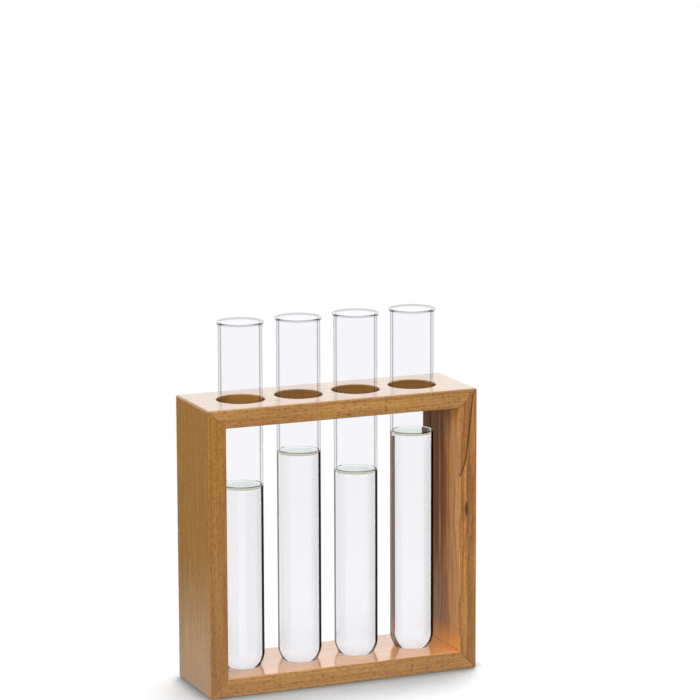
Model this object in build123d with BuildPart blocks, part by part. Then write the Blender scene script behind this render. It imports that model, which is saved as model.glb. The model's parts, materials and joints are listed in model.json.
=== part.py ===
from build123d import *
import math
import os

# Beech frame: four mitred boards around an open window. The origin is on the table
# under the frame's middle, with X to the right, Y to the back and Z up.
frame_width = 161.0
frame_height = 162.0
frame_depth = 51.0
board_thickness = 10.5
corner_radius = 1.2  # outer corners, sanded round once the frame is glued
edge_radius = 0.8  # eased edges, all round the front and the back
glue_line = 0.1  # between the two faces of a mitre

# Dowel pins, a pair across each mitre, as long as the boards have room for
dowel_diameter = 4.0
dowel_spacing = 26.0  # between the pins of a pair, along the frame's depth
dowel_chamfer = 0.5
dowel_clearance = 0.1  # around a pin in its hole
dowel_end_gap = 0.4  # room for glue past the end of a pin
dowel_skin = 1.5  # least wood between a pin's hole and the face of a board

# Glass test tubes, in one row along the frame, as many as its window has room for
tube_pitch = 34.5
tube_diameter = 24.5
tube_length = 200.0
tube_wall = 1.2
tube_bottom = 1.6  # thickness of the glass at the lowest point
tube_end_gap = 5.0  # least room between an end tube and the upright beside it
rim_flare = 0.95  # how far the rim stands out past the wall
flare_angle = 50.0  # degrees that the wall turns outwards at the rim

# Holes that the tubes pass through, and flat-bottomed seats for their round ends
hole_clearance = 1.25  # around a tube in the top board
hole_chamfer = 0.4
seat_depth = 5.0
seat_chamfer = 0.3
seat_clearance = 0.2  # under the lowest point of a tube
seat_side_clearance = 0.3  # around a tube at the level of the board's face

# Sizes that follow from those
window_width = frame_width - 2 * board_thickness
window_height = frame_height - 2 * board_thickness
dowel_hole_radius = dowel_diameter / 2 + dowel_clearance
dowel_place = (board_thickness - dowel_skin) * math.sqrt(2) - dowel_hole_radius
dowel_hole_depth = dowel_place - dowel_hole_radius - dowel_skin * math.sqrt(2)
dowel_length = 2 * (dowel_hole_depth - dowel_end_gap)
tube_radius = tube_diameter / 2
tube_count = 1 + int((window_width - tube_diameter - 2 * tube_end_gap) / tube_pitch)
bore_radius = tube_radius - tube_wall
flare_radius = rim_flare / (1 - math.cos(math.radians(flare_angle)))
flare_height = flare_radius * math.sin(math.radians(flare_angle))
flare_start = tube_length - tube_wall / 2 - flare_height
hole_radius = tube_radius + hole_clearance
seat_floor = board_thickness - seat_depth
seat_sink = seat_depth - seat_clearance
seat_radius = math.sqrt(seat_sink * (tube_diameter - seat_sink)) + seat_side_clearance

LEFT, RIGHT = -1, 1
BOTTOM, TOP = -1, 1
SIDE_NAMES = {LEFT: "left", RIGHT: "right"}
LEVEL_NAMES = {BOTTOM: "bottom", TOP: "top"}

os.makedirs("parts", exist_ok=True)


def mitre_plane(side, level):
    """The plane of one mitre, centred on its pins, with Z towards the top or bottom board."""
    corner = Vector(side * frame_width / 2, 0, frame_height if level == TOP else 0)
    to_inner_corner = Vector(-side, 0, -level).normalized()
    return Plane(
        origin=corner + to_inner_corner * dowel_place,
        x_dir=(0, 1, 0),
        z_dir=(-side, 0, level),
    )


def drill_dowel_holes(mouth):
    """Drill the pair of pin holes of one mitre, with the plane's Z out of the board."""
    with Locations(mouth):
        with GridLocations(dowel_spacing, 0, 2, 1):
            Hole(dowel_hole_radius, depth=dowel_hole_depth)


def round_edges(builder, radius):
    """The circular edges of one radius around upright holes."""
    circles = builder.edges().filter_by(GeomType.CIRCLE)
    upright = circles.filter_by(lambda edge: abs(edge.normal().Z) > abs(edge.normal().X))
    return upright.filter_by(lambda edge: math.isclose(edge.radius, radius))


# The glued frame before it comes apart into boards: eased edges run on around its corners
with BuildPart() as frame_blank:
    with BuildSketch(Plane.XZ):
        with Locations((0, frame_height / 2)):
            RectangleRounded(frame_width, frame_height, corner_radius)
            Rectangle(window_width, window_height, mode=Mode.SUBTRACT)
    extrude(amount=frame_depth / 2, both=True)
    fillet(frame_blank.faces().filter_by(Axis.Y).edges(), edge_radius)

# Top board, with a through hole for each tube
with BuildPart() as top_board:
    add(frame_blank.part)
    for side in (LEFT, RIGHT):
        mitre = mitre_plane(side, TOP)
        split(bisect_by=mitre.offset(glue_line / 2), keep=Keep.TOP)
        drill_dowel_holes(-mitre)
    with Locations((0, 0, frame_height)):
        with GridLocations(tube_pitch, 0, tube_count, 1):
            Hole(hole_radius)
    chamfer(round_edges(top_board, hole_radius), hole_chamfer)
top_board.part.label = "top_board"
export_step(top_board.part, "parts/top_board.step")

# Bottom board, with a shallow seat under each hole
with BuildPart() as bottom_board:
    add(frame_blank.part)
    for side in (LEFT, RIGHT):
        mitre = mitre_plane(side, BOTTOM)
        split(bisect_by=mitre.offset(glue_line / 2), keep=Keep.TOP)
        drill_dowel_holes(-mitre)
    with Locations((0, 0, board_thickness)):
        with GridLocations(tube_pitch, 0, tube_count, 1):
            Hole(seat_radius, depth=seat_depth)
    chamfer(round_edges(bottom_board, seat_radius).group_by(Axis.Z)[-1], seat_chamfer)
bottom_board.part.label = "bottom_board"
export_step(bottom_board.part, "parts/bottom_board.step")

# The two uprights
for side in (LEFT, RIGHT):
    name = f"{SIDE_NAMES[side]}_board"
    with BuildPart() as side_board:
        add(frame_blank.part)
        for level in (BOTTOM, TOP):
            mitre = mitre_plane(side, level)
            split(bisect_by=mitre.offset(-glue_line / 2), keep=Keep.BOTTOM)
            drill_dowel_holes(mitre)
    side_board.part.label = name
    export_step(side_board.part, f"parts/{name}.step")

# Dowel pins, half in each of the two boards that meet at a mitre
for level in (TOP, BOTTOM):
    for side in (LEFT, RIGHT):
        mitre = mitre_plane(side, level)
        for place, offset in (("front", -dowel_spacing / 2), ("back", dowel_spacing / 2)):
            name = f"dowel_{LEVEL_NAMES[level]}_{SIDE_NAMES[side]}_{place}"
            pin_middle = Plane(mitre.origin + Vector(0, offset, 0), mitre.x_dir, mitre.z_dir)
            with BuildPart(pin_middle) as dowel:
                Cylinder(dowel_diameter / 2, dowel_length)
                chamfer(dowel.edges().filter_by(GeomType.CIRCLE), dowel_chamfer)
            dowel.part.label = name
            export_step(dowel.part, f"parts/{name}.step")

# Test tubes: half of the glass in section, from the round bottom out to the flared rim and
# down the inside again, spun about the tube's axis
for number in range(1, tube_count + 1):
    name = f"test_tube_{number}"
    across = (number - (tube_count + 1) / 2) * tube_pitch
    stand = Plane((across, 0, seat_floor + seat_clearance), x_dir=(1, 0, 0), z_dir=(0, -1, 0))
    with BuildPart() as test_tube:
        with BuildSketch(stand):
            with BuildLine():
                outer_bottom = JernArc((0, 0), (1, 0), tube_radius, 90)
                outer_wall = Line(outer_bottom @ 1, (tube_radius, flare_start))
                under_rim = JernArc(
                    outer_wall @ 1, outer_wall % 1, flare_radius - tube_wall / 2, -flare_angle
                )
                lip = JernArc(under_rim @ 1, under_rim % 1, tube_wall / 2, 180)
                mouth = JernArc(lip @ 1, lip % 1, flare_radius + tube_wall / 2, flare_angle)
                bore = Line(mouth @ 1, (bore_radius, tube_bottom + bore_radius))
                inner_bottom = JernArc(bore @ 1, bore % 1, bore_radius, -90)
                Line(inner_bottom @ 1, outer_bottom @ 0)
            make_face()
        revolve(axis=Axis(stand.origin, stand.y_dir))
    test_tube.part.label = name
    export_step(test_tube.part, f"parts/{name}.step")
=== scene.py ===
"""The looks of a test tube vase: a varnished beech frame that holds four glass tubes of water."""

import json
import logging
import math
from collections.abc import Callable
from dataclasses import dataclass
from enum import Enum

import bmesh
import bpy
from mathutils import Matrix, Vector


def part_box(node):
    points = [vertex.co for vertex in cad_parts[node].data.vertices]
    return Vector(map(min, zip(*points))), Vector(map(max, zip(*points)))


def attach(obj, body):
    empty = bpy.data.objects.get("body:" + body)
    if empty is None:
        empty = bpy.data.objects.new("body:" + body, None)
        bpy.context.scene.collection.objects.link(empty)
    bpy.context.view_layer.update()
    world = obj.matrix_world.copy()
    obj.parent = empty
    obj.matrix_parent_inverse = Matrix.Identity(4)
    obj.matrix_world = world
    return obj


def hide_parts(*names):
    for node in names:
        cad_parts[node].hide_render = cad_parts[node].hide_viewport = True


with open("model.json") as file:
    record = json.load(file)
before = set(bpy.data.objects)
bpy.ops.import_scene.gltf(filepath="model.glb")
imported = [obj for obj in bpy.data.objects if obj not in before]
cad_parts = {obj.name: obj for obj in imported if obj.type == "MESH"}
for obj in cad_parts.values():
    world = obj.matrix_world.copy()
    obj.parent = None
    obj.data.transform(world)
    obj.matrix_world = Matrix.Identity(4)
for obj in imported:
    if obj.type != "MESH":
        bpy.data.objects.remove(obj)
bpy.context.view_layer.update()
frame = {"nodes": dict(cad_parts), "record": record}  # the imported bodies, nodes, joints and record

LOG = logging.getLogger("test_tube_vase")
MM = 0.001  # metres in a millimetre
PER_M = 1 / MM  # millimetres in a metre, for patterns written in millimetres
WATER_LEVELS = (112.8 * MM, 129.2 * MM, 115.6 * MM, 134.5 * MM)  # above the table, from the left
WET = "wet"  # marks the points of a glass wall that has water behind it
FACE = "face"  # marks the points of the water's upper face
RIM = "rim"  # marks the points of a tube's lip
OUTER = "outer"  # marks the points on the outside of a tube
SHORE = "shore"  # marks the points of a glass wall at the water's edge
SKIRT = "skirt"  # marks the points of the water just under its face
ROUND_END = "round_end"  # marks the points of a tube's and its water's round end, more towards the bottom

WHITE = "FFFFFF"
BLACK = "000000"

Tree = bpy.types.NodeTree
Node = bpy.types.Node
Material = bpy.types.Material
Socket = bpy.types.NodeSocket
Colour = tuple[float, float, float, float]
Section = list[tuple[float, float]]  # radius and height of each point of a half section


def linear(hex_colour: str) -> Colour:
    """Turn an sRGB colour into the linear one that shaders use.

    Args:
        hex_colour: The colour as six hex digits.

    Returns:
        Linear red, green and blue, with an alpha of 1.
    """
    parts = [int(hex_colour[i:i + 2], 16) / 255 for i in (0, 2, 4)]
    curve = [p / 12.92 if p <= 0.04045 else ((p + 0.055) / 1.055) ** 2.4 for p in parts]
    return (*curve, 1.0)


def add_node(tree: Tree, kind: str, inputs: dict | None = None, **settings) -> Node:
    """Add a node to a tree, with its settings and links.

    Args:
        tree: The tree that gets the node.
        kind: Blender's name for the kind of node.
        inputs: A value, a colour as hex digits or an output to link from, for each input by name or number.
        settings: The node's own properties.

    Returns:
        The new node.
    """
    node = tree.nodes.new(kind)
    for key, value in settings.items():
        setattr(node, key, value)
    for key, value in (inputs or {}).items():
        if isinstance(value, Socket):
            tree.links.new(value, node.inputs[key])
        else:
            node.inputs[key].default_value = linear(value) if isinstance(value, str) else value
    return node


def new_object(name: str, data: bpy.types.ID) -> bpy.types.Object:
    """Make an object of some data and put it in the scene."""
    made = bpy.data.objects.new(name, data)
    bpy.context.scene.collection.objects.link(made)
    return made


def new_material(name: str) -> tuple[Material, Tree]:
    """Make a material with an empty node tree, and return both."""
    material = bpy.data.materials.new(name)
    material.use_nodes = True
    material.node_tree.nodes.clear()
    return material, material.node_tree


def calculate(tree: Tree, operation: str, *values: Socket | float) -> Socket:
    """Add one step of arithmetic, by Blender's name for it, with numbers or outputs to link from."""
    return add_node(tree, "ShaderNodeMath", dict(enumerate(values)), operation=operation).outputs[0]


def times(tree: Tree, first: Socket | float, second: Socket | float) -> Socket:
    """The product of two values."""
    return calculate(tree, "MULTIPLY", first, second)


def less(tree: Tree, first: Socket | float, second: Socket | float) -> Socket:
    """What is left of the first value without the second."""
    return calculate(tree, "SUBTRACT", first, second)


def distance(tree: Tree, vector: Socket) -> Socket:
    """How long a vector is."""
    return add_node(tree, "ShaderNodeVectorMath", {0: vector}, operation="LENGTH").outputs[1]


def object_place(tree: Tree) -> Socket:
    """A point's place in Object coordinates."""
    return add_node(tree, "ShaderNodeTexCoord").outputs["Object"]


def from_point(tree: Tree, point: Vector) -> Socket:
    """The way to a point of the piece from a given one, in Object coordinates."""
    ends = {0: object_place(tree), 1: point}
    return add_node(tree, "ShaderNodeVectorMath", ends, operation="SUBTRACT").outputs[0]


def outwards(tree: Tree, axis: str) -> Socket:
    """How far a point's face looks along an axis, from -1 to 1."""
    normal = add_node(tree, "ShaderNodeTexCoord").outputs["Normal"]
    return add_node(tree, "ShaderNodeSeparateXYZ", {0: normal}).outputs[axis]


def marked(tree: Tree, name: str) -> Socket:
    """How strongly a point of the mesh has a mark."""
    return add_node(tree, "ShaderNodeAttribute", attribute_name=name).outputs["Fac"]


def glow(tree: Tree, strength: Socket | float) -> Node:
    """Plain white light of some strength."""
    return add_node(tree, "ShaderNodeEmission", {"Color": WHITE, "Strength": strength})


def mix_shaders(tree: Tree, share: Socket, first: Node, second: Node) -> Node:
    """Mix two shaders, by the share of the second one."""
    return add_node(tree, "ShaderNodeMixShader", {0: share, 1: first.outputs[0], 2: second.outputs[0]})


def cover(tree: Tree, shader: Node) -> None:
    """End a material's tree with the shader that its surface shows."""
    add_node(tree, "ShaderNodeOutputMaterial", {"Surface": shader.outputs[0]})


def fade(tree: Tree, value: Socket, start: float, end: float,
         low: float = 0.0, high: float = 1.0) -> Socket:
    """Ease from one level to another as a value goes from start to end.

    Args:
        tree: The tree that gets the step.
        value: The value that drives the fade.
        start: Where the fade starts.
        end: Where it ends.
        low: The level at the start.
        high: The level at the end.

    Returns:
        The faded level's output.
    """
    inputs = {"Value": value, 1: start, 2: end, 3: low, 4: high}
    return add_node(tree, "ShaderNodeMapRange", inputs, interpolation_type="SMOOTHSTEP").outputs[0]


def tint(tree: Tree, amount: Socket | float, below: Socket | str, above: Socket | str,
         blend: str = "MIX") -> Socket:
    """Mix two colours.

    Args:
        tree: The tree that gets the mix.
        amount: How much of the second colour there is.
        below: The first colour, as hex digits, or an output to link from.
        above: The second colour, in the same way.
        blend: Blender's name for the way they mix.

    Returns:
        The mixed colour's output.
    """
    inputs = {0: amount, 6: below, 7: above}
    node = add_node(tree, "ShaderNodeMix", inputs, data_type="RGBA", blend_type=blend)
    return node.outputs[2]


def ramp(tree: Tree, value: Socket, stops: dict[float, str]) -> Socket:
    """Give a value a colour from a row of stops.

    Args:
        tree: The tree that gets the ramp.
        value: The value, from 0 to 1.
        stops: The colour at each value, as hex digits.

    Returns:
        The colour's output.
    """
    node = add_node(tree, "ShaderNodeValToRGB", {0: value})
    elements = node.color_ramp.elements
    for place in list(stops)[2:]:
        elements.new(place)
    for element, (place, colour) in zip(elements, sorted(stops.items())):
        element.position = place
        element.color = linear(colour)
    return node.outputs[0]


class Grain(Enum):
    """The way the fibres of a board run."""

    ALONG_X = "across the frame"
    ALONG_Z = "up the frame"


@dataclass(frozen=True)
class BoardAxes:
    """A point's place in a board, in millimetres, for the patterns that run with its grain."""

    tree: Tree
    board: Socket  # along the board itself
    along: Socket  # along the log that it is cut from
    depth: Socket
    thickness: Socket

    @classmethod
    def of(cls, tree: Tree, grain: Grain, start: float) -> "BoardAxes":
        """Read a point's place from its Object coordinates.

        Args:
            tree: The material's tree.
            grain: The way the fibres run.
            start: How far along the log the board begins, mm.

        Returns:
            The place along the board and its log, across the depth and through the thickness.
        """
        place = object_place(tree)
        in_mm = add_node(tree, "ShaderNodeMapping", {"Vector": place, "Scale": (PER_M, PER_M, PER_M)})
        x, y, z = add_node(tree, "ShaderNodeSeparateXYZ", {0: in_mm.outputs[0]}).outputs
        along, thickness = (x, z) if grain is Grain.ALONG_X else (z, x)
        return cls(tree, along, calculate(tree, "ADD", along, start), y, thickness)

    def stretched(self, length: float, width: float, height: float) -> Socket:
        """The place measured in steps of one length for each direction, mm."""
        steps = zip((self.along, self.depth, self.thickness), (length, width, height))
        parts = {i: calculate(self.tree, "DIVIDE", place, step) for i, (place, step) in enumerate(steps)}
        return add_node(self.tree, "ShaderNodeCombineXYZ", parts).outputs[0]

    def noise(self, length: float, width: float, height: float, detail: float) -> Socket:
        """Noise in streaks of one length, width and height, mm, from 0 to 1."""
        inputs = {"Vector": self.stretched(length, width, height), "Scale": 1.0, "Detail": detail}
        return add_node(self.tree, "ShaderNodeTexNoise", inputs).outputs[0]

    def dashes(self, length: float, width: float) -> Socket:
        """Short dashes, one in some of the cells of this length and width, mm, from 0 to 1."""
        inputs = {"Vector": self.stretched(length, width, width), "Scale": 1.0}
        cell = add_node(self.tree, "ShaderNodeTexVoronoi", inputs).outputs
        dash = fade(self.tree, cell["Distance"], 0.26, 0.46, 1.0, 0.0)
        pick = add_node(self.tree, "ShaderNodeSeparateColor", {0: cell["Color"]}).outputs[0]
        return times(self.tree, dash, fade(self.tree, pick, 0.25, 0.75))


@dataclass(frozen=True)
class Knot:
    """A small knot that the fibres flow around, by its place along and through the board, mm."""

    along: float
    through: float
    reach_along: float = 9.0
    reach_through: float = 2.2
    push: float = 3.2

    def lift(self, axes: BoardAxes) -> Socket:
        """How far the knot pushes the rings aside, mm, falling off away from it."""
        tree = axes.tree
        return calculate(tree, "DIVIDE", self.push, calculate(tree, "ADD", self.away(axes), 1.0))

    def eye(self, axes: BoardAxes) -> Socket:
        """How dark the knot itself is at a point, from 0 to 1."""
        return fade(axes.tree, self.away(axes), 0.04, 0.36, 0.9, 0.0)

    def away(self, axes: BoardAxes) -> Socket:
        """How far a point is from the knot, squared, in steps of its reach."""
        tree = axes.tree
        u = calculate(tree, "DIVIDE", less(tree, axes.board, self.along), self.reach_along)
        v = calculate(tree, "DIVIDE", less(tree, axes.thickness, self.through), self.reach_through)
        return calculate(tree, "ADD", times(tree, u, u), times(tree, v, v))


@dataclass(frozen=True)
class Flame:
    """One dark growth ring in a long curve across a board's front edge, by where it starts, mm."""

    along: float
    through: float
    bend: float = 3.2  # how far it swings out at its start
    bend_length: float = 5.0
    lean: float = 0.105  # how far it moves out for each mm after that
    front: float = -25.0  # the depth that it shows at

    def line(self, axes: BoardAxes) -> Socket:
        """How dark the ring is at a point: nearly 1 on its line, sharp outwards and slow inwards."""
        tree = axes.tree
        up = less(tree, axes.board, self.along)
        left_over = calculate(tree, "EXPONENT", calculate(tree, "DIVIDE", up, -self.bend_length))
        swing = times(tree, less(tree, 1.0, left_over), self.bend)
        line = calculate(tree, "ADD", calculate(tree, "MULTIPLY_ADD", up, self.lean, swing), self.through)
        inside = less(tree, line, axes.thickness)
        core = fade(tree, inside, 0.3, 1.1, 0.6, 0.0)
        fringe = fade(tree, inside, 0.5, 5.0, 0.3, 0.0)
        late_wood = calculate(tree, "ADD", core, fringe)
        sharp = times(tree, late_wood, fade(tree, inside, -0.6, 0.0))
        return times(tree, sharp, fade(tree, axes.depth, self.front, self.front + 2.0, 1.0, 0.0))


@dataclass(frozen=True)
class VarnishedBeech:
    """Steamed beech, planed, sanded and varnished to a satin shine.

    Narrow growth rings and a fine straight fibre give a quiet honey brown, sprinkled all over with the
    short dark rays that beech is known by. The clear varnish mirrors the room at a glancing angle.
    Each board is cut from its own place in a log, so the figure runs on from face to face.
    """

    name: str
    grain: Grain
    pith: tuple[float, float]  # where the log's centre lies, across the depth and the thickness, mm
    start: float  # how far along the log the board begins, mm
    pale: str = "B68848"
    middle: str = "A27438"
    deep: str = "7E4E1C"
    ray: str = "5E2C0C"
    heart: str = "6A4632"  # the dark heartwood
    streak: str = "4A2812"  # its streaks
    scar: str = "4A2208"  # the knot, and the strong growth ring
    lit: str = "FAA64C"  # light that the next board throws
    glue: str = "3F240F"
    face_light_tone: str = "B48546"  # painted light: the tone of its widest face in sight, for the light that falls on that face
    wide_towards: tuple[str, float] = ("Z", 1.0)  # the axis that this face looks along, and which way
    calm: float = 0.0  # how much fewer rays that face shows, cut between them
    ring_width: float = 2.6
    ring_share: float = 0.30
    wander: float = 3.0  # how far the rings stray, mm
    slope: float = 0.0  # how far the log's centre moves through the thickness for each mm along the board
    streak_share: float = 0.0  # how strong the dark streaks of heartwood are
    ray_share: float = 0.68
    ray_cell: tuple[float, float] = (3.2, 0.62)  # room for one ray along and across, mm
    shine: float = 1.0  # how much varnish there is
    haze: float = 0.12  # how blurred it mirrors
    seam: float = 0.6  # how dark the glue line shows
    heart_from: float = 0.0  # how deep in the board, mm, the dark heartwood starts
    warmth: tuple[float, float] = (0.0, 1.0)  # how much light the next board throws on it, and how far, mm
    knot: Knot | None = None
    flame: Flame | None = None
    bore: float = 0.0  # radius of the holes or seats for the tubes, mm
    bore_wood_and_light: str = "A4712F"  # the bare wood inside them; the seats' pale tone is painted light, for the light that the thick glass bottoms gather
    bore_painted_shade: float = 0.0  # painted shade: how dark the sides of the holes are painted, for the shade in the gap beside the tube
    bore_shade_tone: str = "3A1E08"  # the tone of that painted shade
    bore_shade_sides: tuple[float, float] = (0.92, -0.39)  # where that painted shade lies, along the board and across its depth

    def build(self) -> Material:
        """Build the material."""
        material, tree = new_material(self.name)
        axes = BoardAxes.of(tree, self.grain, self.start)
        fibre = axes.noise(46.0, 0.7, 0.7, detail=3.0)
        calm = calculate(tree, "MULTIPLY_ADD", self.on_wide_face(tree), -self.calm, 1.0)
        rays = times(tree, axes.dashes(*self.ray_cell), calm)
        colour = self.ground(axes)
        colour = tint(tree, times(tree, self.rings(axes), self.ring_share), colour, self.deep)
        if self.streak_share:
            heart = self.heartwood(axes)
            colour = tint(tree, times(tree, heart, 0.4), colour, self.heart)
            colour = tint(tree, self.streaks(axes, heart), colour, self.streak)
        colour = tint(tree, fade(tree, fibre, 0.38, 0.68, 0.0, 0.42), colour, self.deep)
        mottle = fade(tree, axes.noise(2.6, 0.9, 0.9, detail=2.0), 0.42, 0.70, 0.0, 0.30)
        colour = tint(tree, times(tree, mottle, calm), colour, self.deep)
        colour = tint(tree, times(tree, rays, self.ray_share), colour, self.ray)
        if self.knot:
            colour = tint(tree, self.knot.eye(axes), colour, self.scar)
        if self.flame:
            colour = tint(tree, self.flame.line(axes), colour, self.scar)
        if self.warmth[0]:
            colour = tint(tree, self.warmed(tree), colour, self.lit)
        colour = tint(tree, self.mitre_seam(tree), colour, self.glue)
        if self.bore:
            colour = self.bored(axes, colour)
        grooves = calculate(tree, "ADD", times(tree, fibre, 0.5), rays)
        relief = {"Strength": 0.12, "Distance": 0.05 * MM, "Height": grooves}
        bump = add_node(tree, "ShaderNodeBump", relief, invert=True)
        shader = add_node(tree, "ShaderNodeBsdfPrincipled", {
            "Base Color": colour,
            "Roughness": fade(tree, fibre, 0.3, 0.7, 0.30, 0.42),
            "IOR": 1.5,
            "Coat Weight": self.shine,
            "Coat Roughness": self.haze,
            "Coat IOR": 1.55,
            "Normal": bump.outputs[0],
        })
        cover(tree, shader)
        return material

    def ground(self, axes: BoardAxes) -> Socket:
        """The board's own colour, in slow bands, with painted light on its widest face in sight, as a tone
        for the light that falls there.
        """
        tree = axes.tree
        bands = fade(tree, axes.noise(170.0, 9.0, 9.0, detail=2.0), 0.32, 0.68)
        colour = tint(tree, bands, self.middle, self.pale)
        share = times(tree, self.on_wide_face(tree), 0.8)
        return tint(tree, share, colour, self.face_light_tone)

    def on_wide_face(self, tree: Tree) -> Socket:
        """1 on the board's widest face in sight and 0 on the others."""
        axis, way = self.wide_towards
        return fade(tree, times(tree, outwards(tree, axis), way), 0.6, 0.95)

    def warmed(self, tree: Tree) -> Socket:
        """How much two boards light each other in the window's lower right corner."""
        corner = Vector((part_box("right_board")[0].x, 0.0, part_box("bottom_board")[1].z))
        ends = {0: from_point(tree, corner), 1: (1.0, 0.0, 1.0)}
        flat = add_node(tree, "ShaderNodeVectorMath", ends, operation="MULTIPLY").outputs[0]
        away = distance(tree, flat)
        share, reach = self.warmth
        return times(tree, fade(tree, away, 0.0, reach * MM, share, 0.0), self.on_wide_face(tree))

    def rings(self, axes: BoardAxes) -> Socket:
        """Growth rings around the log's centre, from 0 in the pale early wood to 1 in the dark late wood."""
        tree = axes.tree
        lean = times(tree, axes.board, self.slope)
        centre = calculate(tree, "ADD", lean, self.pith[1])
        from_pith = add_node(tree, "ShaderNodeCombineXYZ", {
            0: less(tree, axes.depth, self.pith[0]),
            1: less(tree, axes.thickness, centre),
        })
        radius = distance(tree, from_pith.outputs[0])
        stray = axes.noise(70.0, 18.0, 18.0, detail=2.0)
        radius = calculate(tree, "ADD", radius, times(tree, stray, 2 * self.wander))
        if self.knot:
            radius = calculate(tree, "ADD", radius, self.knot.lift(axes))
        turn = calculate(tree, "FRACT", calculate(tree, "DIVIDE", radius, self.ring_width))
        return calculate(tree, "POWER", turn, 2.2)

    def heartwood(self, axes: BoardAxes) -> Socket:
        """How far into the dark heartwood a point is, from 0 in the front of the board to 1 in its back."""
        tree = axes.tree
        stray = times(tree, axes.noise(80.0, 14.0, 14.0, detail=1.0), 16.0)
        return fade(tree, calculate(tree, "ADD", axes.depth, stray), self.heart_from, self.heart_from + 14.0)

    def streaks(self, axes: BoardAxes, heart: Socket) -> Socket:
        """How strong the long dark streaks are at a point that is more or less far into the heartwood."""
        tree = axes.tree
        fine = fade(tree, axes.noise(150.0, 1.8, 5.0, detail=2.0), 0.49, 0.54, 0.0, self.streak_share)
        return times(tree, fine, calculate(tree, "MULTIPLY_ADD", heart, 0.5, 0.3))

    def bored(self, axes: BoardAxes, colour: Socket) -> Socket:
        """Give the walls of the holes or seats for the tubes bare wood, with painted shade on their sides,
        and the seats a pale tone that is painted light.

        Args:
            axes: The point's place in the board.
            colour: The board's colour.

        Returns:
            The colour with the holes in it.
        """
        tree = axes.tree
        middles = [sum(corner.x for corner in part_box(f"test_tube_{i}")) / 2 * PER_M for i in (1, 2)]
        pitch = middles[1] - middles[0]
        across = less(tree, axes.board, middles[0] - pitch / 2)
        from_middle = less(tree, calculate(tree, "FLOORED_MODULO", across, pitch), pitch / 2)
        place = add_node(tree, "ShaderNodeCombineXYZ", {0: from_middle, 1: axes.depth})
        radius = distance(tree, place.outputs[0])
        in_row = calculate(tree, "LESS_THAN", calculate(tree, "ABSOLUTE", axes.board), 2 * pitch)
        along, depth = self.bore_shade_sides
        sideways = calculate(tree, "MULTIPLY_ADD", axes.depth, depth, times(tree, from_middle, along))
        aside = calculate(tree, "ABSOLUTE", sideways)
        # painted shade, darker towards the sides of each hole, for the gap between the wood and the tube
        sides = fade(tree, aside, 0.78 * self.bore, 0.93 * self.bore, 0.0, self.bore_painted_shade)
        wall = tint(tree, sides, self.bore_wood_and_light, self.bore_shade_tone)
        inside = fade(tree, radius, self.bore + 0.05, self.bore + 0.2, 1.0, 0.0)
        return tint(tree, times(tree, inside, in_row), colour, wall)

    def mitre_seam(self, tree: Tree) -> Socket:
        """A fine dark line where two boards meet at 45 degrees, from 0 to its full share."""
        low, high = frame_box()
        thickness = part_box("bottom_board")[1].z - low.z
        middle = (low + high) / 2
        half = (high - low) / 2
        x, _, z = add_node(tree, "ShaderNodeSeparateXYZ", {0: from_point(tree, middle)}).outputs
        to_side = less(tree, half.x, calculate(tree, "ABSOLUTE", x))
        to_level = less(tree, half.z, calculate(tree, "ABSOLUTE", z))
        gap = calculate(tree, "ABSOLUTE", less(tree, to_side, to_level))
        outside = fade(tree, to_side, thickness - 1.0 * MM, thickness, 1.0, 0.0)
        return times(tree, fade(tree, gap, 0.15 * MM, 0.55 * MM, self.seam, 0.0), outside)


@dataclass(frozen=True)
class BareBeech:
    """Turned beech dowel, unvarnished: pale, dry and faintly streaked."""

    name: str = "Turned beech"
    pale: str = "D2AE82"
    deep: str = "B98D5C"

    def build(self) -> Material:
        """Build the material."""
        material, tree = new_material(self.name)
        place = object_place(tree)
        streaks = add_node(tree, "ShaderNodeTexNoise", {"Vector": place, "Scale": PER_M / 1.5, "Detail": 3.0})
        colour = tint(tree, streaks.outputs[0], self.deep, self.pale)
        shader = add_node(tree, "ShaderNodeBsdfPrincipled", {"Base Color": colour, "Roughness": 0.7})
        cover(tree, shader)
        return material


def let_lamps_through(tree: Tree, shader: Node, colour: str) -> None:
    """End a clear material so that lamps shine straight through it.

    Args:
        tree: The material's tree.
        shader: What the eye sees.
        colour: The colour that the light keeps.
    """
    clear = add_node(tree, "ShaderNodeBsdfTransparent", {"Color": colour})
    lamp = add_node(tree, "ShaderNodeLightPath").outputs["Is Shadow Ray"]
    cover(tree, mix_shaders(tree, lamp, shader, clear))


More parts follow.
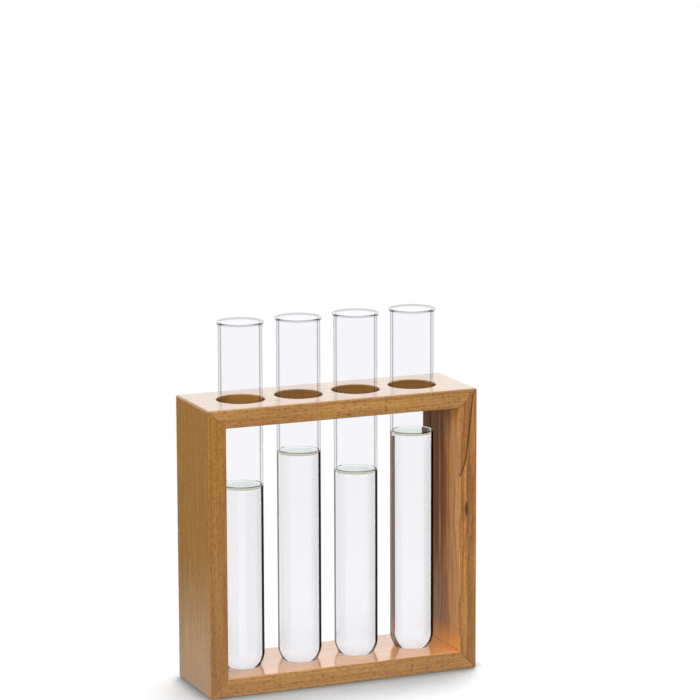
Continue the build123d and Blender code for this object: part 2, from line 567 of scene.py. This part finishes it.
@dataclass(frozen=True)
class BorosilicateGlass:
    """Clear drawn glass, colourless and smooth, known by its outline.

    A dry wall is thin: light goes straight through it, and it shows as a fine grey outline of painted shade
    where it is seen edge on. A wall with water behind it bends light, and so does the lip. Its outline is
    broad and nearly black, painted shade that is lighter on the left and towards the round end, and takes no
    mirrored light.
    Painted shade also darkens a band inside that wall and greys the lip. Two olive lines of painted shade
    with a painted highlight between them show where the water's edge meets the wall.
    """

    name: str = "Borosilicate glass"
    colour: str = "FDFDFE"
    # painted shade: the grey and dark outlines stand in for the room that the glass bends at its edges,
    # darker on the right side of the tube
    dry_outline_shade: str = "BCBCC2"
    wet_shade_left: str = "86837E"
    wet_shade_right: str = "352D27"
    clear: str = "FDFCFC"  # a wall with water behind it, on both sides of a slightly darker band of painted shade
    shade_band: str = "F0EEF0"
    rim: str = "D4D4D8"  # the thick lip, tinted grey as painted shade
    shore: str = "605A38"  # painted shade: the two lines that the water's edge draws on the wall
    shore_highlight: str = "E4E2CC"  # painted highlight: the bright band between them
    ior: float = 1.47
    rim_ior: float = 1.12  # the lip, which shows the white room more than the wood under it
    end_ior: float = 1.3  # the round end, which mirrors less with water on its other side

    def build(self) -> Material:
        """Build the material."""
        material, tree = new_material(self.name)
        facing = add_node(tree, "ShaderNodeLayerWeight", {"Blend": 0.5}).outputs["Facing"]
        wet, rim, low, outer, shore = (marked(tree, name) for name in (WET, RIM, ROUND_END, OUTER, SHORE))
        rightwards = outwards(tree, "X")
        leaving = add_node(tree, "ShaderNodeNewGeometry").outputs["Backfacing"]
        entering = times(tree, outer, less(tree, 1.0, leaving))
        seen = calculate(tree, "MULTIPLY_ADD", rightwards, 0.05, facing)
        # painted shade: a slightly darker band across a wall with water behind it, by how glancing it is seen
        behind = ramp(tree, times(tree, seen, entering), {
            0.08: self.colour, 0.22: self.clear, 0.40: self.shade_band, 0.53: self.clear,
        })
        shore_shade_and_highlight = ramp(tree, times(tree, shore, entering), {
            0.05: self.colour, 0.25: self.shore, 0.4: self.shore, 0.6: self.shore_highlight,
        })
        behind = tint(tree, 1.0, behind, shore_shade_and_highlight, blend="MULTIPLY")
        ior = fade(tree, rim, 0.0, 1.0, self.ior, self.rim_ior)
        thick = add_node(tree, "ShaderNodeBsdfPrincipled", {
            "Base Color": tint(tree, rim, behind, self.rim),
            "Roughness": 0.0,
            "IOR": calculate(tree, "MULTIPLY_ADD", low, self.end_ior - self.ior, ior),
            "Transmission Weight": 1.0,
        })
        inner = calculate(tree, "MULTIPLY_ADD", outer, -0.6, 1.0)
        edge_on = times(tree, fade(tree, facing, 0.55, 0.96), inner)
        dry_shade_line = tint(tree, edge_on, WHITE, self.dry_outline_shade)
        dry_shade_line = tint(tree, 1.0, dry_shade_line, shore_shade_and_highlight, blend="MULTIPLY")
        # painted shade: the outline is darker on the right of the tube than on the left
        side = fade(tree, rightwards, -0.4, 0.4)
        wet_shade_line = tint(tree, side, self.wet_shade_left, self.wet_shade_right)
        # painted shade: the outline is lighter towards the round end
        wet_shade_line = tint(tree, times(tree, low, 0.7), wet_shade_line, self.dry_outline_shade)
        wet_shade_line = tint(tree, entering, self.colour, wet_shade_line)
        wall = add_node(tree, "ShaderNodeBsdfTransparent", {"Color": tint(tree, wet, dry_shade_line, wet_shade_line)})
        gloss = add_node(tree, "ShaderNodeBsdfGlossy", {"Color": WHITE, "Roughness": 0.0})
        mirrored = times(tree, fade(tree, facing, 0.4, 1.0, 0.02, 0.3), entering)
        mirrored = times(tree, mirrored, less(tree, 1.0, wet))
        thin = mix_shaders(tree, mirrored, wall, gloss)
        grazed = fade(tree, seen, 0.575, 0.61)
        straight_on = calculate(tree, "MAXIMUM", grazed, less(tree, 1.0, wet))
        straight_on = times(tree, straight_on, less(tree, 1.0, rim))
        whole = mix_shaders(tree, straight_on, thick, thin)
        let_lamps_through(tree, whole, self.colour)
        return material


@dataclass(frozen=True)
class StillWater:
    """Clear still water, with a faint green cast on its face and an olive line of painted shade where it
    climbs the glass.

    Light goes straight through the face, and out through the back where it came in by the face, so that the
    inside is seen from above without dark crescents. Elsewhere the water bends light, most in its round end.
    """

    name: str = "Water"
    colour: str = "FEFEFE"
    face: str = "D3E2DA"
    # painted shade: the olive line where the water climbs the glass
    line: str = "D8D8BE"
    ior: float = 1.333
    lens: float = 0.2  # how much more the round end bends light, with the thick glass under it
    few_walls: float = 2.5  # light that has crossed fewer walls than this came in by the face

    def build(self) -> Material:
        """Build the material."""
        material, tree = new_material(self.name)
        face, skirt, low = (marked(tree, name) for name in (FACE, SKIRT, ROUND_END))
        leaving = add_node(tree, "ShaderNodeNewGeometry").outputs["Backfacing"]
        crossed = add_node(tree, "ShaderNodeLightPath").outputs["Transmission Depth"]
        from_above = calculate(tree, "LESS_THAN", crossed, self.few_walls)
        through_face = calculate(tree, "MAXIMUM", skirt, from_above)
        straight_on = calculate(tree, "MAXIMUM", face, times(tree, through_face, leaving))
        bent_up = times(tree, low, less(tree, 1.0, leaving))
        ior = fade(tree, straight_on, 0.0, 0.1, self.ior, 1.0)
        shader = add_node(tree, "ShaderNodeBsdfPrincipled", {
            "Base Color": ramp(tree, face, {
                0.0: self.colour, 0.15: self.line, 0.6: self.colour, 0.98: self.face,
            }),
            "Roughness": 0.0,
            "IOR": calculate(tree, "MULTIPLY_ADD", bent_up, self.lens, ior),
            "Transmission Weight": 1.0,
        })
        let_lamps_through(tree, shader, self.colour)
        return material


def frame_box() -> tuple[Vector, Vector]:
    """The lowest and highest corners of the beech frame."""
    boxes = [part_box(f"{side}_board") for side in ("left", "right", "top", "bottom")]
    low = Vector(min(box[0][i] for box in boxes) for i in range(3))
    high = Vector(max(box[1][i] for box in boxes) for i in range(3))
    return low, high


@dataclass
class BeechFrame:
    """The mitred frame: four boards and the dowel pins hidden in its corners."""

    def dress(self) -> None:
        """Give each board the figure of its own place in a log."""
        # Each board's tone for its widest face in sight is painted light, for the light that falls on that
        # face; the bottom board's bright orange top face most of all.
        boards = {
            "top_board": VarnishedBeech(
                "Varnished beech top", Grain.ALONG_X, (-38.0, 210.0), 0.0,
                # the holes get painted shade on their sides
                calm=0.5, seam=0.2, bore=13.5, bore_painted_shade=0.8,
            ),
            "bottom_board": VarnishedBeech(
                "Varnished beech bottom", Grain.ALONG_X, (46.0, -60.0), 410.0,
                pale="B3823A", middle="9F6E28", face_light_tone="FFB05E", calm=0.65, warmth=(0.7, 50.0),
                # the seats' pale tone is painted light, for the light that the thick glass bottoms gather
                seam=0.1, bore=10.0, bore_wood_and_light="EAD9C4",
            ),
            "left_board": VarnishedBeech(
                "Varnished beech left", Grain.ALONG_Z, (30.0, -140.0), 870.0,
                pale="A2752E", middle="8C6020", deep="7C400F", ray_share=0.7, ray_cell=(1.9, 0.66), seam=0.1,
                face_light_tone="A37A2B", wide_towards=("X", -1.0),
            ),
            "right_board": VarnishedBeech(
                "Varnished beech heart side", Grain.ALONG_Z, (-6.0, 90.0), 1310.0,
                pale="C68A3A", middle="A47038", deep="522A10", ring_share=0.5, wander=4.0, slope=0.035,
                ray_share=0.2, streak_share=0.8, heart_from=-10.0, shine=0.2, haze=0.35, seam=0.3,
                knot=Knot(93.2, 74.3), flame=Flame(112.5, 70.0), warmth=(0.36, 15.0),
                face_light_tone="CC8A30", wide_towards=("X", -1.0),
            ),
        }
        for node, finish in boards.items():
            frame["nodes"][node].material_slots[0].material = finish.build()
            LOG.info("dressed %s", node)
        pin = BareBeech().build()
        for node, piece in frame["nodes"].items():
            if node.startswith("dowel_"):
                piece.material_slots[0].material = pin
                LOG.info("dressed %s", node)


def arc(centre: tuple[float, float], radius: float, start: float, end: float, steps: int) -> Section:
    """Points along an arc in a half section.

    Args:
        centre: The arc's centre, as radius and height.
        radius: The arc's radius.
        start: Angle at its start, degrees from outwards towards up.
        end: Angle at its end.
        steps: How many straight runs stand for it.

    Returns:
        Radius and height of each point.
    """
    turns = [math.radians(start + (end - start) * i / steps) for i in range(steps + 1)]
    return [(centre[0] + radius * math.cos(t), centre[1] + radius * math.sin(t)) for t in turns]


def straight(start: tuple[float, float], end: tuple[float, float], hold: float) -> Section:
    """Points that hold a straight run of a half section flat right up to its ends.

    Args:
        start: Where the run starts, as radius and height.
        end: Where it ends.
        hold: How far from each end its extra point stands.

    Returns:
        Radius and height of the points between the ends.
    """
    share = hold / math.dist(start, end)
    return [tuple(a + (b - a) * s for a, b in zip(start, end)) for s in (share, 1 - share)]


class SpinTree:
    """Geometry nodes that spin a half section around an upright axis and weld the result."""

    def __init__(self) -> None:
        """Build the tree once, for all the pieces that use it."""
        self.tree = bpy.data.node_groups.new("Spun section", "GeometryNodeTree")
        self.sockets = {
            name: self.tree.interface.new_socket(name, in_out="INPUT", socket_type=kind).identifier
            for name, kind in (
                ("Section", "NodeSocketGeometry"),
                ("Axis", "NodeSocketVector"),
                ("Sides", "NodeSocketInt"),
                ("Weld", "NodeSocketFloat"),
                ("Finish", "NodeSocketMaterial"),
            )
        }
        self.tree.interface.new_socket("Mesh", in_out="OUTPUT", socket_type="NodeSocketGeometry")
        self.wire()

    def wire(self) -> None:
        """Place each grid point on its ring and side, then weld the seam and the poles."""
        tree = self.tree
        given = add_node(tree, "NodeGroupInput").outputs
        section = given["Section"]
        count = add_node(tree, "GeometryNodeAttributeDomainSize", {0: section}).outputs["Point Count"]
        columns = calculate(tree, "ADD", given["Sides"], 1.0)
        grid = add_node(tree, "GeometryNodeMeshGrid", {"Vertices X": columns, "Vertices Y": count})
        index = add_node(tree, "GeometryNodeInputIndex").outputs[0]
        ring = calculate(tree, "MODULO", index, count)
        side = calculate(tree, "FLOOR", calculate(tree, "DIVIDE", index, count))
        angle = times(tree, calculate(tree, "DIVIDE", side, given["Sides"]), math.tau)
        place = add_node(tree, "GeometryNodeInputPosition").outputs[0]
        inputs = {"Geometry": section, "Value": place, "Index": ring}
        point = add_node(tree, "GeometryNodeSampleIndex", inputs, data_type="FLOAT_VECTOR")
        inputs = {"Vector": point.outputs[0], "Center": given["Axis"], "Angle": angle}
        turned = add_node(tree, "ShaderNodeVectorRotate", inputs, rotation_type="Z_AXIS")
        mesh = grid.outputs[0]
        for kind, inputs in (
            ("GeometryNodeSetPosition", {"Position": turned.outputs[0]}),
            ("GeometryNodeMergeByDistance", {"Distance": given["Weld"]}),
            ("GeometryNodeSetShadeSmooth", {}),
            ("GeometryNodeRealizeInstances", {}),
            ("GeometryNodeSetMaterial", {"Material": given["Finish"]}),
        ):
            mesh = add_node(tree, kind, {"Geometry": mesh, **inputs}).outputs[0]
        add_node(tree, "NodeGroupOutput", {0: mesh})

    def spin(self, name: str, section: Section, axis: Vector, sides: int,
             finish: Material) -> bpy.types.Object:
        """Spin a half section into a closed mesh.

        Args:
            name: The piece's name.
            section: Radius and height of each point, from the axis round to the axis.
            axis: A point on the axis.
            sides: How many flat sides the round has.
            finish: The piece's material.

        Returns:
            The piece, as a plain mesh in place.
        """
        outline = bpy.data.meshes.new(f"{name}_section")
        points = [(axis.x + radius, axis.y, height) for radius, height in section]
        outline.from_pydata(points, [(i, i + 1) for i in range(len(points) - 1)], [])
        draft = new_object(f"{name}_draft", outline)
        modifier = draft.modifiers.new("Spin", "NODES")
        modifier.node_group = self.tree
        values = {"Axis": (axis.x, axis.y, 0.0), "Sides": sides, "Weld": 0.002 * MM, "Finish": finish}
        for socket, value in values.items():
            modifier[self.sockets[socket]] = value
        return plain_mesh(name, draft)


def mark(piece: bpy.types.Object, name: str, strength: Callable[[Vector], float]) -> None:
    """Mark some of a mesh's points for its material.

    Args:
        piece: The mesh object.
        name: The mark's name.
        strength: Tells how strongly a point is marked, from 0 to 1.
    """
    marks = piece.data.attributes.new(name, "FLOAT", "POINT")
    marks.data.foreach_set("value", [float(strength(vertex.co)) for vertex in piece.data.vertices])


def plain_mesh(name: str, draft: bpy.types.Object) -> bpy.types.Object:
    """Turn an evaluated object into a plain mesh object with its faces outwards.

    Args:
        name: The piece's name.
        draft: The object with its modifiers, which is removed.

    Returns:
        The piece.
    """
    graph = bpy.context.evaluated_depsgraph_get()
    mesh = bpy.data.meshes.new_from_object(draft.evaluated_get(graph), depsgraph=graph)
    bpy.data.objects.remove(draft)
    work = bmesh.new()
    work.from_mesh(mesh)
    bmesh.ops.recalc_face_normals(work, faces=work.faces)
    work.to_mesh(mesh)
    work.free()
    mesh.name = name
    return new_object(name, mesh)


@dataclass
class TestTube:
    """One glass tube with a round bottom and a flared, fire-polished rim, and the water in it."""

    number: int
    water_level: float  # height of the water's face above the table, metres
    bottom: float = 1.6 * MM  # glass under the lowest point of the bore
    rim_flare: float = 0.95 * MM
    flare_angle: float = 50.0
    sides: int = 256
    climb: float = 1.0 * MM  # how far the water climbs the glass
    climb_width: float = 0.9 * MM
    wetting: float = 0.12 * MM  # how far the water's mesh reaches into the glass, so that no air shows
    skirt: float = 3.4 * MM  # how far down the back of the water is seen through its face
    hold: float = 0.1 * MM  # rings this near the ends of the straight walls keep their shading flat
    end_top: float = 11.5 * MM  # how far above the foot the round end's mark starts
    end_full: float = 5.0 * MM  # how far above the foot it is full
    round_steps: int = 40
    bend_steps: int = 10
    lip_steps: int = 14
    face_steps: int = 24

    def __post_init__(self) -> None:
        """Read the tube's size and place from the frame."""
        low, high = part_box(f"test_tube_{self.number}")
        mounts = {mount["name"]: mount for mount in frame["record"]["mounts"]}
        self.axis = (low + high) / 2
        self.foot = low.z
        self.top = high.z
        self.radius = (high.x - low.x) / 2 - self.rim_flare
        self.bore = mounts[f"tube_{self.number}_mouth"]["dims"]["r_mm"] * MM
        self.wall = self.radius - self.bore

    def glass_section(self) -> Section:
        """The glass in half section, up the outside, over the rim and down the inside."""
        turn = math.radians(self.flare_angle)
        bend = self.rim_flare / (1 - math.cos(turn))
        bend_height = self.top - self.wall / 2 - bend * math.sin(turn)
        bend_centre = (self.radius - self.wall / 2 + bend, bend_height)
        lip_centre = (bend_centre[0] - bend * math.cos(turn), bend_height + bend * math.sin(turn))
        outside = arc((0.0, self.foot + self.radius), self.radius, -90, 0, self.round_steps)
        under_rim = arc(bend_centre, bend - self.wall / 2, 180, 180 - self.flare_angle, self.bend_steps)
        lip = arc(lip_centre, self.wall / 2, -self.flare_angle, 180 - self.flare_angle, self.lip_steps)
        mouth = arc(bend_centre, bend + self.wall / 2, 180 - self.flare_angle, 180, self.bend_steps)
        inside = arc((0.0, self.foot + self.bottom + self.bore), self.bore, 0, -90, self.round_steps)
        shore = self.water_level + self.climb
        outer_wall = straight(outside[-1], under_rim[0], self.hold)
        steps = (-self.climb, -self.hold / 2, self.hold / 2, self.climb)
        outer_wall[1:1] = [(self.radius, shore + step) for step in steps]
        bore = straight(mouth[-1], inside[0], self.hold)
        bore[1:1] = [(self.bore, shore - step) for step in steps]
        return outside + outer_wall + under_rim + lip[1:-1] + mouth + bore + inside

    def water_section(self) -> Section:
        """The water in half section, up the glass and back over its face, which climbs at the edge."""
        reach = self.bore + self.wetting
        round_end = arc((0.0, self.foot + self.bottom + self.bore), reach, -90, 0, self.round_steps)
        rings = [reach * (1 - (i / self.face_steps) ** 2) for i in range(self.face_steps + 1)]
        climbs = [self.climb * math.exp((ring - reach) / self.climb_width) for ring in rings]
        face = [(ring, self.water_level + climb) for ring, climb in zip(rings, climbs)]
        wall = straight(round_end[-1], face[0], self.hold)
        wall[1:1] = [(reach, self.water_level - self.skirt + step) for step in (-self.hold, 0.0)]
        return round_end + wall + face

    def from_axis(self, point: Vector) -> float:
        """A point's distance from the tube's axis, or from the middle of its round end."""
        below = min(point.z - self.foot - self.radius, 0.0)
        return math.hypot(point.x - self.axis.x, point.y - self.axis.y, below)

    def lowness(self, point: Vector) -> float:
        """How low in the round end a point is, from 0 where it starts to 1 where the seat hides it."""
        depth = (self.foot + self.end_top - point.z) / (self.end_top - self.end_full)
        return min(max(depth, 0.0), 1.0)

    def flatness(self, point: Vector) -> float:
        """How flat the water's face is at a point: 1 in the middle, 0 where it meets the glass and below."""
        if point.z < self.water_level:
            return 0.0
        return 1 - min((point.z - self.water_level) / self.climb, 1.0) if self.on_face(point) else 0.0

    def on_face(self, point: Vector) -> bool:
        """Whether a point of the water is on its face."""
        return self.from_axis(point) < self.bore + self.wetting - 0.01 * MM

    def build(self, spinner: SpinTree, glass: Material, water: Material) -> None:
        """Make the glass and the water.

        Args:
            spinner: The tree that spins both.
            glass: The tube's material.
            water: The water's material.
        """
        body = f"tube_{self.number}"
        tube = spinner.spin(f"glass_tube_{self.number}", self.glass_section(), self.axis, self.sides, glass)
        shore = self.water_level + self.climb
        mark(tube, WET, lambda point: point.z < shore)
        mark(tube, RIM, lambda point: point.z > self.top - self.wall)
        mark(tube, OUTER, lambda point: self.from_axis(point) > self.bore + self.wall / 2)
        mark(tube, SHORE, lambda point: max(1 - abs(point.z - shore) / self.climb, 0.0))
        mark(tube, ROUND_END, self.lowness)
        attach(tube, body)
        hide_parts(f"test_tube_{self.number}")
        LOG.info("built %s", tube.name)
        filling = spinner.spin(f"water_{self.number}", self.water_section(), self.axis, self.sides, water)
        mark(filling, FACE, self.flatness)
        mark(filling, SKIRT, lambda point: point.z > self.water_level - self.skirt - self.hold / 2)
        mark(filling, ROUND_END, self.lowness)
        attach(filling, body)
        LOG.info("built %s", filling.name)


@dataclass
class Studio:
    """A white table and room, soft lamps and the camera."""

    lens: float = 171.95
    camera_place: tuple[float, float, float] = (-0.70457, -1.68778, 0.52868)
    turn: float = -23.062  # degrees to the left of straight ahead
    tilt: float = 10.627  # degrees down
    roll: float = -0.168
    room_light: float = 0.38  # how bright the room is as light on the object
    table_half: float = 3.0
    table_level: float = -0.1 * MM  # just under the object
    contact_reach: float = 11 * MM  # of the dark line under the object
    shadow_reach: float = 90 * MM  # of the soft shadow in front of it
    shadow_from: tuple[float, float, float] = (0.35, 0.86, 0.37)  # where that shadow's light comes from
    shadow_middle: tuple[float, float, float] = (-0.04, -0.06, 0.0)  # past it the table fades into the room

    def build(self) -> None:
        """Set up the room."""
        bpy.context.scene.view_settings.view_transform = "Standard"
        self.build_camera()
        self.build_world()
        self.build_floor()
        self.build_lamps()

    def build_camera(self) -> None:
        """Stand the camera where the photograph was taken from."""
        turn, tilt, roll = (math.radians(a) for a in (self.turn, self.tilt, self.roll))
        ahead = Vector((-math.sin(turn) * math.cos(tilt), math.cos(turn) * math.cos(tilt), -math.sin(tilt)))
        right = Vector((math.cos(turn), math.sin(turn), 0.0))
        up = right.cross(ahead)
        rolled_right = right * math.cos(roll) + up * math.sin(roll)
        rolled_up = up * math.cos(roll) - right * math.sin(roll)
        facing = Matrix((rolled_right, rolled_up, -ahead)).transposed().to_4x4()
        data = bpy.data.cameras.new("Camera")
        data.lens = self.lens
        data.sensor_width = 36.0
        camera = new_object("Camera", data)
        camera.matrix_world = Matrix.Translation(self.camera_place) @ facing
        bpy.context.scene.camera = camera

    @staticmethod
    def seen_directly(tree: Tree) -> Socket:
        """1 for what the camera sees, straight, mirrored or through glass, and 0 for other light."""
        path = add_node(tree, "ShaderNodeLightPath").outputs
        seen = calculate(tree, "MAXIMUM", path["Is Camera Ray"], path["Is Glossy Ray"])
        return calculate(tree, "MAXIMUM", seen, path["Is Transmission Ray"])

    def build_world(self) -> None:
        """A white room that is plain white to the eye and soft light to the object."""
        world = bpy.data.worlds.new("White room")
        bpy.context.scene.world = world
        world.use_nodes = True
        tree = world.node_tree
        tree.nodes.clear()
        light = add_node(tree, "ShaderNodeBackground", {"Color": "F4F6FA", "Strength": self.room_light})
        white = add_node(tree, "ShaderNodeBackground", {"Color": WHITE, "Strength": 1.0})
        mixed = mix_shaders(tree, self.seen_directly(tree), light, white)
        add_node(tree, "ShaderNodeOutputWorld", {"Surface": mixed.outputs[0]})

    def build_floor(self) -> None:
        """A white table that keeps the object's shadow and runs out into the white room."""
        mesh = bpy.data.meshes.new("floor")
        half = self.table_half
        corners = [(x * half, y * half, self.table_level) for x, y in ((-1, -1), (1, -1), (1, 1), (-1, 1))]
        mesh.from_pydata(corners, [], [(0, 1, 2, 3)])
        floor = new_object("floor", mesh)
        material, tree = new_material("White table")
        path = add_node(tree, "ShaderNodeLightPath").outputs
        shade = fade(tree, self.openness(tree, self.contact_reach), 0.35, 1.0, 0.45, 1.0)
        light = add_node(tree, "ShaderNodeCombineXYZ", dict(enumerate(self.shadow_from))).outputs[0]
        soft = fade(tree, self.openness(tree, self.shadow_reach, Normal=light), 0.42, 0.86, 0.2, 1.0)
        matt, pale = (
            add_node(tree, "ShaderNodeBsdfDiffuse", {"Color": tint(tree, shade, BLACK, tone)})
            for tone in ("F2F2F2", "969696")
        )
        lift = fade(tree, path["Is Transmission Ray"], 0.0, 1.0, 0.78, 0.68)
        white = glow(tree, times(tree, times(tree, shade, soft), lift))
        lifted = add_node(tree, "ShaderNodeAddShader", {0: pale.outputs[0], 1: white.outputs[0]})
        away = distance(tree, from_point(tree, Vector(self.shadow_middle)))
        seen = mix_shaders(tree, fade(tree, away, 0.14, 0.40), lifted, glow(tree, 1.0))
        dim = glow(tree, fade(tree, away, 0.1, 0.4, 0.5, 0.08))
        mirrored = mix_shaders(tree, path["Is Glossy Ray"], matt, dim)
        straight_on = calculate(tree, "MAXIMUM", path["Is Camera Ray"], path["Is Transmission Ray"])
        cover(tree, mix_shaders(tree, straight_on, mirrored, seen))
        mesh.materials.append(material)

    @staticmethod
    def openness(tree: Tree, reach: float, **inputs: Socket) -> Socket:
        """How open the space around a point is within reach, from 0 to 1."""
        inputs["Distance"] = reach
        return add_node(tree, "ShaderNodeAmbientOcclusion", inputs, samples=16).outputs["AO"]

    @staticmethod
    def build_lamps() -> None:
        """Large soft lamps around the object."""
        middle = Vector((0.0, 0.0, 0.1))
        lamps = {
            "key": (Vector((0.4, -1.25, 1.65)), 1.2, 13.0),
            "overhead": (Vector((0.75, -0.1, 1.5)), 1.1, 13.5),
            "side": (Vector((-1.4, -0.8, 0.55)), 0.9, 24.5),
            "back": (Vector((0.85, 2.0, 0.55)), 1.3, 1.9),
        }
        for name, (place, size, power) in lamps.items():
            data = bpy.data.lights.new(name, "AREA")
            data.shape = "SQUARE"
            data.size = size
            data.energy = power
            lamp = new_object(name, data)
            lamp.visible_camera = False
            lamp.visible_transmission = False
            lamp.visible_glossy = name == "back"
            lamp.location = place
            lamp.rotation_euler = (middle - place).to_track_quat("-Z", "Y").to_euler()


def main() -> None:
    """Build the vase and the room around it."""
    logging.basicConfig(level=logging.INFO, format="%(message)s")
    Studio().build()
    BeechFrame().dress()
    spinner = SpinTree()
    glass = BorosilicateGlass().build()
    water = StillWater().build()
    for number, level in enumerate(WATER_LEVELS, start=1):
        TestTube(number, level).build(spinner, glass, water)


if __name__ == "__main__":
    main()
